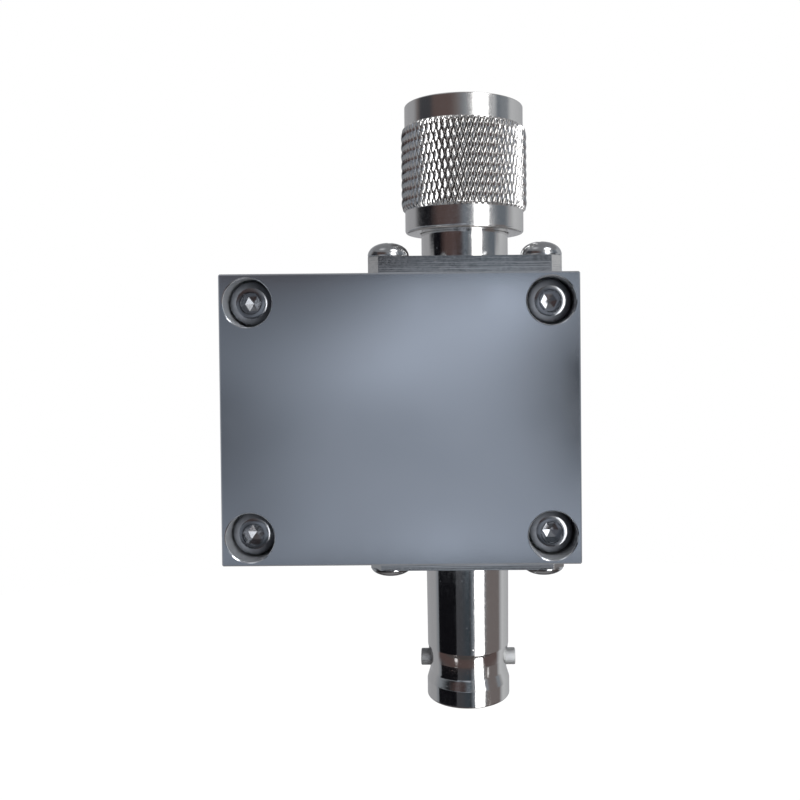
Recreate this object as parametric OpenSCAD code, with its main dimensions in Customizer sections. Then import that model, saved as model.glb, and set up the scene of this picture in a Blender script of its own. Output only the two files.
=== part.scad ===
// Inline bandpass filter: a milled aluminium box with a threaded plug on its top
// face and a bayonet jack on its bottom face, both on one vertical axis.
// Millimetres. +Z is up and the front face looks towards -Y. The origin is on the
// connector axis at the plug's reference plane, where its outer contact's wall ends.

/* [Box] */
// Width of the box, left to right
box_w = 36.5; // [34:0.5:60]
// Height of the box, between its two connector faces
box_h = 29.6; // [28:0.2:50]
// Depth of the box, front face to back face, with the connectors in its middle
box_d = 28.5; // [27:0.5:45]
// Distance from the connector axis to the right-hand side
axis_from_right = 11.6; // [11:0.1:16]
// Thickness of the front wall behind the plain face
front_wall = 2.5; // [2:0.1:4]
// Thickness of the top and bottom walls, which carry the connectors
end_wall = 3; // [2.6:0.1:4]
// Thickness of the left and right walls
side_wall = 3; // [2.4:0.1:4]
// Metal between the rear flange screws and the seam of the rear cover
seam_margin = 0.8; // [0.4:0.05:1.2]
// Depth of the cover's lip inside the housing
cover_lip = 1; // [0.6:0.1:2]
// Corner radius of the milled cavity
cavity_r = 1.5; // [0.8:0.1:2.5]
// Chamfer that breaks the outer edges
edge_break = 0.15; // [0.05:0.05:0.4]

/* [Cover screws] */
// Distance of each cover screw from the two outer faces of its corner
cover_screw_inset = 2.9; // [2.8:0.05:3.2]
// Width of the corner pillars, measured from the outer faces
pillar_w = 6.3; // [6:0.1:7]
// Diameter of the counterbores in the front face
counterbore_d = 4.95; // [4.8:0.05:5.4]
// Depth of the counterbores
counterbore_depth = 3.9; // [3.2:0.1:5]
// Chamfer round the mouth of each counterbore
counterbore_break = 0.12; // [0.05:0.01:0.2]
// Share of the rear cover's thickness that the cover screws bite into
cover_screw_bite = 0.5; // [0.4:0.05:0.6]
// Diameter of the cap heads
cap_head_d = 4.5; // [4:0.05:4.7]
// Height of the cap heads
cap_head_h = 2.5; // [1.6:0.1:2.8]
// Radius round the top edge of the cap heads
cap_head_round = 0.75; // [0.3:0.05:0.9]
// Width of the hexagon sockets across their flats
hex_af = 2; // [1.5:0.05:2.2]
// Depth of the hexagon sockets
hex_depth = 1.3; // [0.8:0.1:1.5]

/* [Flanges and their screws] */
// Width of the square connector flanges
flange_w = 20.66; // [19.5:0.02:21.5]
// Chamfer at the flange corners
flange_corner = 1.2; // [0.6:0.1:2]
// Distance between flange screws, both ways
flange_pitch = 16.43; // [16:0.01:16.6]
// Thickness of the plug's flange
plug_flange_t = 2.04; // [1.6:0.02:2.6]
// Thickness of the jack's flange
jack_flange_t = 1.65; // [1.4:0.05:2.4]
// Diameter of the round spigots behind the flanges
spigot_d = 9; // [8.4:0.1:9.6]
// Length of the spigots, inside the end walls
spigot_len = 2.4; // [1.5:0.1:2.5]
// Diameter of the pan heads on the plug's flange
pan_head_d = 4.43; // [4:0.01:4.6]
// Height of the pan heads
pan_head_h = 1.55; // [1.3:0.05:2]
// Diameter of the raised countersunk heads in the jack's flange
raised_head_d = 4.4; // [4:0.05:4.7]
// Height of their domes above the flange
raised_head_h = 0.95; // [0.3:0.05:1.2]
// Thread length of the flange screws in the end walls
flange_screw_bite = 1.4; // [1:0.05:1.45]
// Thread diameter of the cover and flange screws
screw_d = 2.5; // [2:0.05:2.5]

/* [Coupling nut] */
// Length of the nut
nut_len = 14.7; // [14:0.1:18]
// Diameter of the plain rims
rim_d = 13.8; // [13.2:0.1:14.4]
// Length of the plain rim at the mouth
mouth_rim_len = 2.5; // [1.5:0.1:3.5]
// Diameter over the knurl
knurl_d = 14.65; // [14.45:0.05:15.4]
// Length of the knurled band
knurl_len = 9.7; // [8:0.1:10.2]
// Radius that rounds the nut's lower edge
nut_round = 0.35; // [0.1:0.05:1]
// Bore of the nut: the crest diameter of its thread
nut_bore_d = 10.35; // [10.3:0.01:10.5]
// Diameter of the relief behind the thread
thread_relief_d = 11.3; // [10.8:0.1:11.8]
// Length of the relief behind the thread
thread_relief_len = 1.8; // [1:0.1:2.4]
// Clear neck between the flange and the nut
nut_gap = 3.4; // [0.6:0.1:5]
// Depth of the plug's reference plane inside the nut's mouth
tip_setback = 1.5; // [0.5:0.1:3]

/* [Plug] */
// Diameter of the neck, on which the nut turns
neck_d = 10.1; // [9.9:0.01:10.2]
// Depth of the plug body's front shoulder below the reference plane
shoulder_depth = 9.8; // [8:0.1:10]
// Thickness of the retaining ring
ring_t = 0.8; // [0.6:0.05:1]
// Outer diameter of the retaining ring
ring_d = 11.5; // [11.2:0.05:11.6]
// Height of the ring above the nut's lower end
ring_height = 0.9; // [0.8:0.05:2]
// Diameter at the bottom of the ring groove in the neck
ring_groove_d = 9; // [8.8:0.05:9.3]
// Gap between the ends of the split ring, in degrees
ring_split = 26; // [12:1:60]
// Outer diameter of the outer contact
sleeve_d = 8; // [7.8:0.05:8.1]
// Bore of the outer contact
sleeve_bore_d = 6.8; // [6.5:0.05:7]
// Diameter of the collar at the base of the outer contact
sleeve_collar_d = 8.4; // [8.2:0.05:8.6]
// Depth to which the outer contact sits in the plug body
sleeve_seat = 1.5; // [1.2:0.1:2.2]
// Length of the slots in the outer contact
sleeve_slot_len = 6; // [4:0.1:7]
// Width of the slots in the outer contact
sleeve_slot_w = 0.4; // [0.2:0.05:0.6]
// Number of slots in the outer contact
sleeve_slots = 4; // [2:2:6]
// Thickness of the gasket
gasket_t = 1.4; // [0.8:0.1:1.8]
// Outer diameter of the gasket
gasket_d = 9.7; // [9.2:0.1:9.8]
// Depth of the insulator's face below the reference plane
insulator_depth = 5.2; // [4:0.1:6]
// Diameter of the insulators inside the bodies
insulator_d = 6; // [5:0.1:6.2]
// Diameter of the centre pin
pin_d = 1.35; // [1.2:0.05:1.5]
// Depth of the pin's point below the reference plane
pin_depth = 0.6; // [0.2:0.1:2]

/* [Jack] */
// Distance from the box to the mouth of the jack
jack_reach = 18.9; // [16:0.1:24]
// Diameter of the barrel
barrel_d = 9.64; // [9.5:0.01:9.8]
// Diameter of the barrel where the dip begins
barrel_low_d = 9.48; // [9.4:0.01:9.5]
// Diameter at the bottom of the dip
dip_d = 8.94; // [8.8:0.02:9.2]
// Length of the plain collar at the mouth
collar_len = 1.6; // [1:0.05:2]
// Length over which the dip rises to the collar
dip_rise = 1.6; // [0.9:0.05:2]
// Length over which the barrel falls into the dip
dip_fall = 2.9; // [1:0.1:3.2]
// Length of the level bottom of the dip
dip_floor = 0.35; // [0.2:0.05:1.8]
// Diameter of the bayonet studs
stud_d = 1.9; // [1.7:0.05:2.1]
// Distance over the ends of the two studs
stud_span = 11.04; // [10.6:0.02:11.4]
// Distance of the studs from the mouth
stud_place = 4.2; // [3.8:0.05:4.6]
// Bore of the shell at the mouth
shell_bore_d = 8.2; // [8.1:0.02:8.3]
// Depth of that bore
shell_depth = 8.6; // [7.5:0.1:9.5]
// Diameter of the insulator inside the mouth
nose_d = 6; // [4.6:0.1:6.2]
// Depth of the insulator's face inside the mouth
nose_depth = 2.2; // [1.5:0.1:3]
// Outer diameter of the centre socket
socket_d = 2.1; // [1.9:0.05:2.4]
// Bore of the centre socket
socket_bore_d = 1.4; // [1.36:0.01:1.5]
// Depth of the centre socket's bore
socket_depth = 5; // [4:0.1:5.4]

/* [Circuit] */
// Thickness of the circuit board
board_t = 1.6; // [0.8:0.1:2]
// Space between the board's edge and the cavity
board_space = 0.5; // [0.3:0.1:1]
// Diameter of the board's bosses
boss_d = 4.5; // [4:0.1:5]
// Distance of the board screws from the board's edges
board_screw_inset = 3; // [2.6:0.1:3.4]
// Thread diameter of the board screws
board_screw_d = 2; // [1.6:0.1:2]
// Length of the board screws under their heads
board_screw_len = 5; // [4:0.5:6]
// Diameter of the solder posts
post_d = 1.3; // [1:0.05:1.3]
// Length of the solder posts inside the cavity
post_len = 3.6; // [3:0.1:4]
// Diameter of the coil wire
wire_d = 0.7; // [0.5:0.05:0.8]
// Diameter of the coils, at the middle of the wire
coil_d = 3.8; // [3.4:0.1:4]
// Turns of each coil, to which half a turn is added between its legs
coil_turns = 4; // [3:1:4]
// Distance from turn to turn
coil_pitch = 1.2; // [1:0.05:1.3]
// Space between the coils and the board
coil_lift = 0.3; // [0.2:0.05:0.6]
// Length of the chip capacitors
chip_l = 2; // [1.6:0.1:2.2]
// Width and height of the chip capacitors
chip_w = 1.25; // [0.8:0.05:1.3]

/* [Fits] */
// Play of each side of the cover's lip in the cavity
lip_play = 0.1; // [0.05:0.01:0.2]
// Play of each side of the screws in their clearance holes
screw_play = 0.08; // [0.05:0.01:0.1]
// Play that pressed and screwed pieces keep all round
press_play = 0.02; // [0.01:0.005:0.04]
// Play of the spigots in the end walls
spigot_play = 0.1; // [0.05:0.01:0.2]
// Play of the retaining ring in its grooves
ring_play = 0.05; // [0.03:0.01:0.06]

/* [Hidden] */
$fn = 96;

// Levels along the connector axis
nut_top = tip_setback;
nut_bottom = nut_top - nut_len;
flange_top = nut_bottom - nut_gap;
box_top = flange_top - plug_flange_t;
box_bottom = box_top - box_h;
jack_mouth = box_bottom - jack_reach;
spigot_tip = box_top - spigot_len;
shoulder = -shoulder_depth;
sleeve_base = shoulder - sleeve_seat;
ring_bottom = nut_bottom + ring_height;

// Faces of the box
right_side = axis_from_right;
left_side = right_side - box_w;
front_face = -box_d / 2;
back_face = box_d / 2;
seam = flange_pitch / 2 + screw_d / 2 + seam_margin;
cover_t = back_face - seam;
middle_x = (left_side + right_side) / 2;
middle_z = (box_top + box_bottom) / 2;
cavity_w = box_w - 2 * side_wall;
cavity_h = box_h - 2 * end_wall;
cavity_front = front_face + front_wall;
pillar_x = pillar_w - side_wall;
pillar_z = pillar_w - end_wall;
screw_seat = front_face + counterbore_depth;
cover_screw_len = seam - screw_seat + cover_screw_bite * cover_t;
sink_rim = 0.05;
cover_screw_x = box_w / 2 - cover_screw_inset;
cover_screw_z = box_h / 2 - cover_screw_inset;

// Board: its copper side touches the solder posts
board_face = -post_d / 2 - press_play;
board_back = board_face - board_t;
board_w = cavity_w - 2 * board_space;
board_h = cavity_h - 2 * board_space;
board_screw_x = board_w / 2 - board_screw_inset;
board_screw_z = board_h / 2 - pillar_z - board_screw_inset;
coil_height = coil_lift + coil_d / 2 + wire_d / 2;
coil_run = coil_pitch * (coil_turns + 0.5);
coil_over = coil_d + wire_d;
coil_len = coil_run + wire_d;

// The circuit stands in four columns, from the connector axis to the left: chips under
// the posts, outer coils, chips, middle coil. Half of the free width parts them.
axis_u = -middle_x;
column_gap = (axis_u + board_w / 2 - 1.5 * chip_w - coil_len - coil_over) / 8;
outer_coil_u = axis_u - chip_w / 2 - column_gap - coil_len / 2;
chip_column_u = outer_coil_u - coil_len / 2 - column_gap - chip_w / 2;
middle_coil_u = chip_column_u - chip_w / 2 - column_gap - coil_over / 2;
outer_coil_v = 0.3 * board_h;
shunt_v = 0.6 * (outer_coil_v - coil_over / 2);
coupling_v = 0.14 * board_h;
post_chip_v = 0.64 * (box_h / 2 - spigot_len - post_len);

// A block with every edge broken, from corner a to corner b
module broken_block(a, b, c) {
    s = b - a;
    translate(a) intersection() {
        linear_extrude(s[2]) broken_square(s[0], s[1], c);
        rotate([90, 0, 90]) linear_extrude(s[0]) broken_square(s[1], s[2], c);
        translate([0, s[1], 0]) rotate([90, 0, 0]) linear_extrude(s[1]) broken_square(s[0], s[2], c);
    }
}

module broken_square(w, h, c) {
    polygon([[c, 0], [w - c, 0], [w, c], [w, h - c], [w - c, h], [c, h], [0, h - c], [0, c]]);
}

// A centred rectangle with round corners
module round_square(w, h, r) {
    square([w - 2 * r, h], center = true);
    square([w, h - 2 * r], center = true);
    for (x = [-1, 1], y = [-1, 1])
        translate([x * (w / 2 - r), y * (h / 2 - r)]) circle(r);
}

// Outline of the cavity, which leaves the four corner pillars standing, less a play
module cavity_outline(play) {
    round_square(cavity_w - 2 * play, cavity_h - 2 * pillar_z - 2 * play, cavity_r);
    round_square(cavity_w - 2 * pillar_x - 2 * play, cavity_h - 2 * play, cavity_r);
}

// Stands a flat outline up in the box: its x and y become x and z, from y0 to y1
module across_box(y0, y1) {
    translate([middle_x, y1, middle_z]) rotate([90, 0, 0]) linear_extrude(y1 - y0) children();
}

// Places its children at the four corners of a rectangle of half sizes x and z in the box
module at_corners(x, z) {
    for (i = [-1, 1], k = [-1, 1])
        translate([middle_x + i * x, 0, middle_z + k * z]) children();
}

// A cylinder that runs along Y from y0 to y1
module along_y(d, y0, y1) {
    translate([0, y1, 0]) rotate([90, 0, 0]) cylinder(d = d, h = y1 - y0);
}

// Places its children at the four screws of a flange
module at_flange_screws() {
    for (i = [-1, 1], j = [-1, 1])
        translate([i * flange_pitch / 2, j * flange_pitch / 2, 0]) children();
}

module housing() {
    color("slategray") difference() {
        union() {
            difference() {
                broken_block([left_side, front_face, box_bottom], [right_side, seam, box_top], edge_break);
                across_box(cavity_front, seam + 1) cavity_outline(0);
            }
            at_corners(board_screw_x, board_screw_z) along_y(boss_d, cavity_front - 1, board_back);
        }
        at_corners(board_screw_x, board_screw_z)
            along_y(board_screw_d + 2 * press_play, board_back - board_screw_len, board_back + 1);
        at_corners(cover_screw_x, cover_screw_z) {
            along_y(screw_d + 2 * screw_play, front_face - 1, seam + 1);
            along_y(counterbore_d, front_face - 1, screw_seat);
            translate([0, front_face, 0]) rotate([-90, 0, 0])
                translate([0, 0, -1])
                    cylinder(d1 = counterbore_d + 2 * counterbore_break + 2, d2 = counterbore_d,
                             h = 1 + counterbore_break);
        }
        translate([0, 0, box_bottom - 1]) cylinder(d = spigot_d + 2 * spigot_play, h = box_h + 2);
        at_flange_screws() {
            translate([0, 0, box_top - flange_screw_bite - 0.05])
                cylinder(d = screw_d + 2 * press_play, h = 2);
            translate([0, 0, box_bottom + flange_screw_bite + 0.05 - 2])
                cylinder(d = screw_d + 2 * press_play, h = 2);
        }
    }
}

module rear_cover() {
    color("slategray") difference() {
        union() {
            broken_block([left_side, seam, box_bottom], [right_side, back_face, box_top], edge_break);
            across_box(seam - cover_lip, seam + 1) cavity_outline(lip_play);
        }
        at_corners(cover_screw_x, cover_screw_z)
            along_y(screw_d + 2 * press_play, seam - cover_lip - 1, seam + (cover_screw_bite + 0.12) * cover_t);
    }
}

// Hexagon socket cap screw: the head stands on z = 0 and the thread points down
module cap_screw(len) {
    r = cap_head_d / 2;
    c = cap_head_round;
    difference() {
        rotate_extrude() polygon(concat(
            [[0, -len], [screw_d / 2 - 0.25, -len], [screw_d / 2, 0.25 - len], [screw_d / 2, 0], [r, 0]],
            [for (a = [0 : 15 : 90]) [r - c + c * cos(a), cap_head_h - c + c * sin(a)]],
            [[0, cap_head_h]]));
        translate([0, 0, cap_head_h - hex_depth]) rotate([0, 0, 12])
            cylinder(d = hex_af / cos(30), h = hex_depth + 1, $fn = 6);
    }
}

module cover_screws() {
    color("silver") at_corners(cover_screw_x, cover_screw_z)
        translate([0, screw_seat, 0]) rotate([90, 0, 0]) cap_screw(cover_screw_len);
}

// Small pan-head screw with a cross recess: the head stands on z = 0
module pan_screw(d, len, head_d, head_h) {
    r = head_d / 2;
    side = head_h * 0.22;
    crown = 0.42 * r;
    difference() {
        rotate_extrude() polygon(concat(
            [[0, -len], [d / 2 - 0.2, -len], [d / 2, 0.2 - len], [d / 2, 0], [r - 0.08, 0]],
            [for (a = [0 : 10 : 90])
                [crown + (r - crown) * cos(a), side + (head_h - side) * sin(a)]],
            [[0, head_h]]));
        for (a = [0, 90]) rotate([0, 0, a])
            translate([-0.27 * head_d, -0.07 * head_d, head_h * 0.45])
                cube([0.54 * head_d, 0.14 * head_d, head_h]);
    }
}

// Small raised countersunk screw: the rim of its head lies on z = 0
module raised_screw(d, len, head_d, rise) {
    r = head_d / 2;
    difference() {
        rotate_extrude() polygon(concat(
            [[0, -len], [d / 2 - 0.2, -len], [d / 2, 0.2 - len], [d / 2, d / 2 - r - sink_rim], [r, -sink_rim]],
            [for (a = [0 : 10 : 80]) [r * cos(a), rise * sin(a)]],
            [[0, rise]]));
        for (a = [0, 90]) rotate([0, 0, a])
            translate([-0.27 * head_d, -0.07 * head_d, rise - 0.9]) cube([0.54 * head_d, 0.14 * head_d, 2]);
    }
}

module plug_flange_screws() {
    color("silver") at_flange_screws() translate([0, 0, flange_top])
        pan_screw(screw_d, plug_flange_t + flange_screw_bite, pan_head_d, pan_head_h);
}

module jack_flange_screws() {
    color("silver") at_flange_screws() translate([0, 0, box_bottom - jack_flange_t]) rotate([180, 0, 0])
        raised_screw(screw_d, jack_flange_t + flange_screw_bite, raised_head_d, raised_head_h);
}

// Square flange from z0 upwards, with chamfered corners and its four screw holes
module flange(z0, t) {
    translate([0, 0, z0]) difference() {
        translate([-flange_w / 2, -flange_w / 2, 0])
            linear_extrude(t) broken_square(flange_w, flange_w, flange_corner);
        at_flange_screws() translate([0, 0, -1]) cylinder(d = screw_d + 2 * screw_play, h = t + 2);
    }
}

module plug_body() {
    groove_top = ring_bottom + ring_t + ring_play;
    color("gainsboro") difference() {
        union() {
            flange(box_top, plug_flange_t);
            rotate_extrude() polygon([
                [0, spigot_tip], [spigot_d / 2, spigot_tip], [spigot_d / 2, box_top],
                [spigot_d / 2, flange_top - 0.5], [neck_d / 2, flange_top - 0.5],
                [neck_d / 2, ring_bottom], [ring_groove_d / 2, ring_bottom],
                [ring_groove_d / 2, groove_top], [neck_d / 2, groove_top],
                [neck_d / 2, shoulder - 0.2], [neck_d / 2 - 0.2, shoulder], [0, shoulder]]);
        }
        translate([0, 0, spigot_tip - 1])
            cylinder(d = insulator_d + 2 * press_play, h = shoulder - spigot_tip + 2);
        translate([0, 0, sleeve_base]) cylinder(d = sleeve_collar_d + 2 * press_play, h = sleeve_seat + 1);
    }
}

// Spring sleeve: a collar that sits in the body, a slotted wall and a tapered lip
module plug_outer_contact() {
    r = sleeve_d / 2;
    q = sleeve_bore_d / 2;
    collar = sleeve_collar_d / 2;
    collar_top = shoulder + gasket_t;
    color("silver") difference() {
        rotate_extrude() polygon([
            [q, sleeve_base], [collar, sleeve_base], [collar, collar_top], [r, collar_top],
            [r, 0], [r - 0.2, 0.25], [q + 0.15, 0.25], [q, 0.05]]);
        for (i = [0 : sleeve_slots / 2 - 1]) rotate([0, 0, 45 + i * 360 / sleeve_slots])
            translate([-r - 1, -sleeve_slot_w / 2, -sleeve_slot_len])
                cube([2 * r + 2, sleeve_slot_w, sleeve_slot_len + 1]);
    }
}

module plug_insulator() {
    color("white") rotate_extrude() polygon([
        [pin_d / 2 + press_play, spigot_tip], [insulator_d / 2, spigot_tip],
        [insulator_d / 2, sleeve_base], [sleeve_bore_d / 2 - press_play, sleeve_base],
        [sleeve_bore_d / 2 - press_play, -insulator_depth], [pin_d / 2 + press_play, -insulator_depth]]);
}

// Centre pin: pointed where it mates, with a thinner post for the solder joint
module plug_pin() {
    color("gold") rotate_extrude() polygon([
        [0, spigot_tip - post_len], [post_d / 2, spigot_tip - post_len], [post_d / 2, spigot_tip],
        [pin_d / 2, spigot_tip + 0.4], [pin_d / 2, -pin_depth - 0.9],
        [0.45 * pin_d, -pin_depth - 0.5], [0.25 * pin_d, -pin_depth - 0.1], [0, -pin_depth]]);
}

// Outer outline of the nut, from its mouth down: rim, knurled band, rim, rounded edge
function nut_outline() = let (
    r = rim_d / 2,
    k = knurl_d / 2,
    band_top = nut_top - mouth_rim_len,
    band_bottom = band_top - knurl_len,
    c = (knurl_d - rim_d) / 2)
    concat(
        [[r - 0.15, nut_top], [r, nut_top - 0.15], [r, band_top], [k, band_top - c],
         [k, band_bottom + c], [r, band_bottom]],
        [for (a = [0 : 15 : 90])
            [r - nut_round + nut_round * cos(a), nut_bottom + nut_round - nut_round * sin(a)]]);

module coupling_nut() {
    b = nut_bore_d / 2;
    g = ring_d / 2 + 2 * ring_play;
    relief_bottom = shoulder;
    color("gainsboro") rotate_extrude() polygon(concat(
        nut_outline(),
        [[b, nut_bottom], [b, ring_bottom - 2 * ring_play], [g, ring_bottom - 2 * ring_play],
         [g, ring_bottom + ring_t + 3 * ring_play], [b, ring_bottom + ring_t + 3 * ring_play],
         [b, relief_bottom], [thread_relief_d / 2, relief_bottom],
         [thread_relief_d / 2, relief_bottom + thread_relief_len],
         [b, relief_bottom + thread_relief_len], [b, nut_top - 0.6], [b + 0.6, nut_top]]));
}

// Split ring, half in the neck's groove and half in the nut's
module retaining_ring() {
    color("dimgray") rotate([0, 0, ring_split / 2]) rotate_extrude(angle = 360 - ring_split)
        translate([ring_groove_d / 2 + ring_play, ring_bottom])
            square([(ring_d - ring_groove_d) / 2 - ring_play, ring_t]);
}

module plug_gasket() {
    color("firebrick") translate([0, 0, shoulder]) difference() {
        cylinder(d = gasket_d, h = gasket_t);
        translate([0, 0, -1]) cylinder(d = sleeve_collar_d + 2 * press_play, h = gasket_t + 2);
    }
}

// Outline of the barrel, from the flange down to the mouth
function barrel_outline() = let (
    r = barrel_d / 2,
    low = barrel_low_d / 2,
    dip = dip_d / 2,
    rise = jack_mouth + collar_len,
    floor_low = rise + dip_rise,
    floor_high = floor_low + dip_floor,
    fall = floor_high + dip_fall)
    [[r, box_bottom - jack_flange_t], [low, fall], [dip, floor_high], [dip, floor_low],
     [r, rise], [r, jack_mouth + 0.15], [r - 0.15, jack_mouth]];

module jack_body() {
    spigot_end = box_bottom + spigot_len;
    sink_d = raised_head_d + 2 * (sink_rim + press_play);
    color("gainsboro") difference() {
        union() {
            flange(box_bottom - jack_flange_t, jack_flange_t);
            rotate_extrude() polygon(concat(
                [[0, spigot_end], [spigot_d / 2, spigot_end], [spigot_d / 2, box_bottom - 0.5],
                 [barrel_d / 2, box_bottom - 0.5]],
                barrel_outline(),
                [[0, jack_mouth]]));
        }
        at_flange_screws() translate([0, 0, box_bottom - jack_flange_t - 0.1])
            cylinder(d1 = sink_d + 0.2, d2 = screw_d, h = (sink_d + 0.2 - screw_d) / 2);
        translate([0, 0, jack_mouth - 1]) cylinder(d = shell_bore_d, h = shell_depth + 1);
        translate([0, 0, jack_mouth - 1])
            cylinder(d1 = shell_bore_d + 0.4 + 2, d2 = shell_bore_d, h = 1.2);
        translate([0, 0, jack_mouth + 1])
            cylinder(d = insulator_d + 2 * press_play, h = spigot_end - jack_mouth);
        translate([-barrel_d, 0, jack_mouth + stud_place]) rotate([0, 90, 0])
            cylinder(d = stud_d + 2 * press_play, h = 2 * barrel_d);
    }
}

module bayonet_studs() {
    inner = shell_bore_d / 2 + press_play;
    color("silver") for (side = [0, 180]) rotate([0, 0, side])
        translate([inner, 0, jack_mouth + stud_place]) rotate([0, 90, 0])
            cylinder(d = stud_d, h = stud_span / 2 - inner);
}

module jack_insulator() {
    spigot_end = box_bottom + spigot_len;
    bore_end = jack_mouth + shell_depth;
    collar = bore_end + 1;
    color("white") rotate_extrude() polygon([
        [post_d / 2 + press_play, spigot_end], [post_d / 2 + press_play, collar],
        [socket_d / 2 + press_play, collar], [socket_d / 2 + press_play, jack_mouth + nose_depth],
        [nose_d / 2, jack_mouth + nose_depth], [nose_d / 2, bore_end],
        [insulator_d / 2, bore_end], [insulator_d / 2, spigot_end]]);
}

module jack_contact() {
    tip = jack_mouth + nose_depth + 0.2;
    base = jack_mouth + shell_depth + 1;
    post_tip = box_bottom + spigot_len + post_len;
    color("gold") difference() {
        union() {
            translate([0, 0, tip]) cylinder(d = socket_d, h = base - tip);
            translate([0, 0, tip + 1]) cylinder(d = post_d, h = post_tip - tip - 1);
        }
        translate([0, 0, tip - 1]) cylinder(d = socket_bore_d, h = socket_depth + 1);
        for (a = [0, 90]) rotate([0, 0, a])
            translate([-socket_d, -0.1, tip - 1]) cube([2 * socket_d, 0.2, socket_depth * 0.7 + 1]);
    }
}

// Board cut round the corner pillars
module circuit_board() {
    color("darkgreen") difference() {
        across_box(board_back, board_face) {
            square([board_w, board_h - 2 * pillar_z], center = true);
            square([board_w - 2 * pillar_x, board_h], center = true);
        }
        at_corners(board_screw_x, board_screw_z)
            along_y(board_screw_d + 2 * screw_play, board_back - 1, board_face + 1);
    }
}

module board_screws() {
    color("silver") at_corners(board_screw_x, board_screw_z)
        translate([0, board_face, 0]) rotate([-90, 0, 0])
            pan_screw(board_screw_d, board_t + board_screw_len - 0.3, 1.8 * board_screw_d, 0.6 * board_screw_d);
}

// Air-wound coil that stands on z = 0 with its axis along X: a leg rises, the wire
// makes its turns, and the other leg comes down on the far side
module coil() {
    sides = 6;
    per_turn = 12;
    steps = per_turn * coil_turns + per_turn / 2;
    r = coil_d / 2;
    w = wire_d / 2;
    rings = concat(
        [[-coil_run / 2, 0, -coil_height]],
        [for (i = [0 : steps]) [-coil_run / 2 + coil_pitch * i / per_turn, 360 * i / per_turn, 0]],
        [[coil_run / 2, 180, -coil_height]]);
    points = [for (p = rings, s = [0 : sides - 1]) let (
        a = p[1],
        out = r + w * cos(360 * s / sides))
        [p[0] + w * sin(360 * s / sides), out * cos(a), out * sin(a) + p[2] + coil_height]];
    n = len(rings);
    walls = [for (i = [0 : n - 2], s = [0 : sides - 1]) let (
        a = i * sides + s,
        b = i * sides + (s + 1) % sides)
        each [[a, b, b + sides], [a, b + sides, a + sides]]];
    caps = [for (s = [1 : sides - 2])
        each [[0, s + 1, s], [(n - 1) * sides, (n - 1) * sides + s, (n - 1) * sides + s + 1]]];
    polyhedron(points = points, faces = concat(walls, caps));
}

// Puts a piece on the board, u to the right and v up from the middle, turned by a
module on_board(u, v, a) {
    translate([middle_x + u, board_face, middle_z + v]) rotate([-90, a, 0]) children();
}

module input_coil() {
    color("peru") on_board(outer_coil_u, outer_coil_v, 0) coil();
}

module middle_coil() {
    color("peru") on_board(middle_coil_u, 0, 90) coil();
}

module output_coil() {
    color("peru") on_board(outer_coil_u, -outer_coil_v, 0) coil();
}

// Chip capacitor on z = 0: ceramic body between two metal ends
module chip() {
    end = chip_l * 0.22;
    translate([-chip_l / 2 + end / 2, -chip_w * 0.46, 0.01]) cube([chip_l - end, chip_w * 0.92, chip_w * 0.92]);
    for (x = [-chip_l / 2, chip_l / 2 - end])
        translate([x, -chip_w / 2, 0]) cube([end, chip_w, chip_w]);
}

module shunt_capacitors() {
    color("tan") {
        on_board(outer_coil_u, shunt_v, 0) chip();
        on_board(chip_column_u, 0, 90) chip();
        on_board(outer_coil_u, -shunt_v, 0) chip();
    }
}

module coupling_capacitors() {
    color("tan") {
        on_board(axis_u, post_chip_v, 90) chip();
        on_board(chip_column_u, coupling_v, 90) chip();
        on_board(chip_column_u, -coupling_v, 90) chip();
        on_board(axis_u, -post_chip_v, 90) chip();
    }
}

housing();
rear_cover();
cover_screws();
plug_body();
plug_outer_contact();
plug_insulator();
plug_pin();
coupling_nut();
retaining_ring();
plug_gasket();
plug_flange_screws();
jack_body();
bayonet_studs();
jack_insulator();
jack_contact();
jack_flange_screws();
circuit_board();
board_screws();
input_coil();
middle_coil();
output_coil();
shunt_capacitors();
coupling_capacitors();
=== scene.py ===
from math import cos, floor, pi, radians, sin, tan
from random import Random

import bmesh
import bpy
from mathutils import Matrix, Vector


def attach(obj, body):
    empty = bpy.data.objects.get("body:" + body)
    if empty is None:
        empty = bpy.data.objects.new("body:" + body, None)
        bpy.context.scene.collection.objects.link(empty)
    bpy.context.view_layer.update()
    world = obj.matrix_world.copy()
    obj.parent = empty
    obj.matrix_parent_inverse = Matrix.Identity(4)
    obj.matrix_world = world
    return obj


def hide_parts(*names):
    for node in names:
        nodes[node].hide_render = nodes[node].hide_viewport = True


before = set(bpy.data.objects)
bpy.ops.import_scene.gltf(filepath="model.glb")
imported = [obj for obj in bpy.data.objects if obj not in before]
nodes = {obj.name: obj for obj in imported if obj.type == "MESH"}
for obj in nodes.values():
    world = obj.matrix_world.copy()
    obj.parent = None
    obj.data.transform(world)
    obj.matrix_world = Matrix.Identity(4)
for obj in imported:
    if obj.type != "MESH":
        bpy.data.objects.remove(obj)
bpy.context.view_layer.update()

# Camera
# The photograph was taken from straight in front, about a hand's width away, at the
# height of the box's upper half, so that the nut is seen from below and the jack from above.

photo_size = 800
# focal length, and the point that the lens looks straight at, in pixels of the photograph
focal = 848.14
centre_x, centre_y = 459.95, 349.1

lens = bpy.data.cameras.new("studio_camera")
lens.sensor_width = 36
lens.lens = lens.sensor_width * focal / photo_size
lens.shift_x = (photo_size / 2 - centre_x) / photo_size
lens.shift_y = (centre_y - photo_size / 2) / photo_size
lens.clip_start = 0.001
camera = bpy.data.objects.new("studio_camera", lens)
camera.location = (-0.000053, -0.099616, -0.024845)
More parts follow.
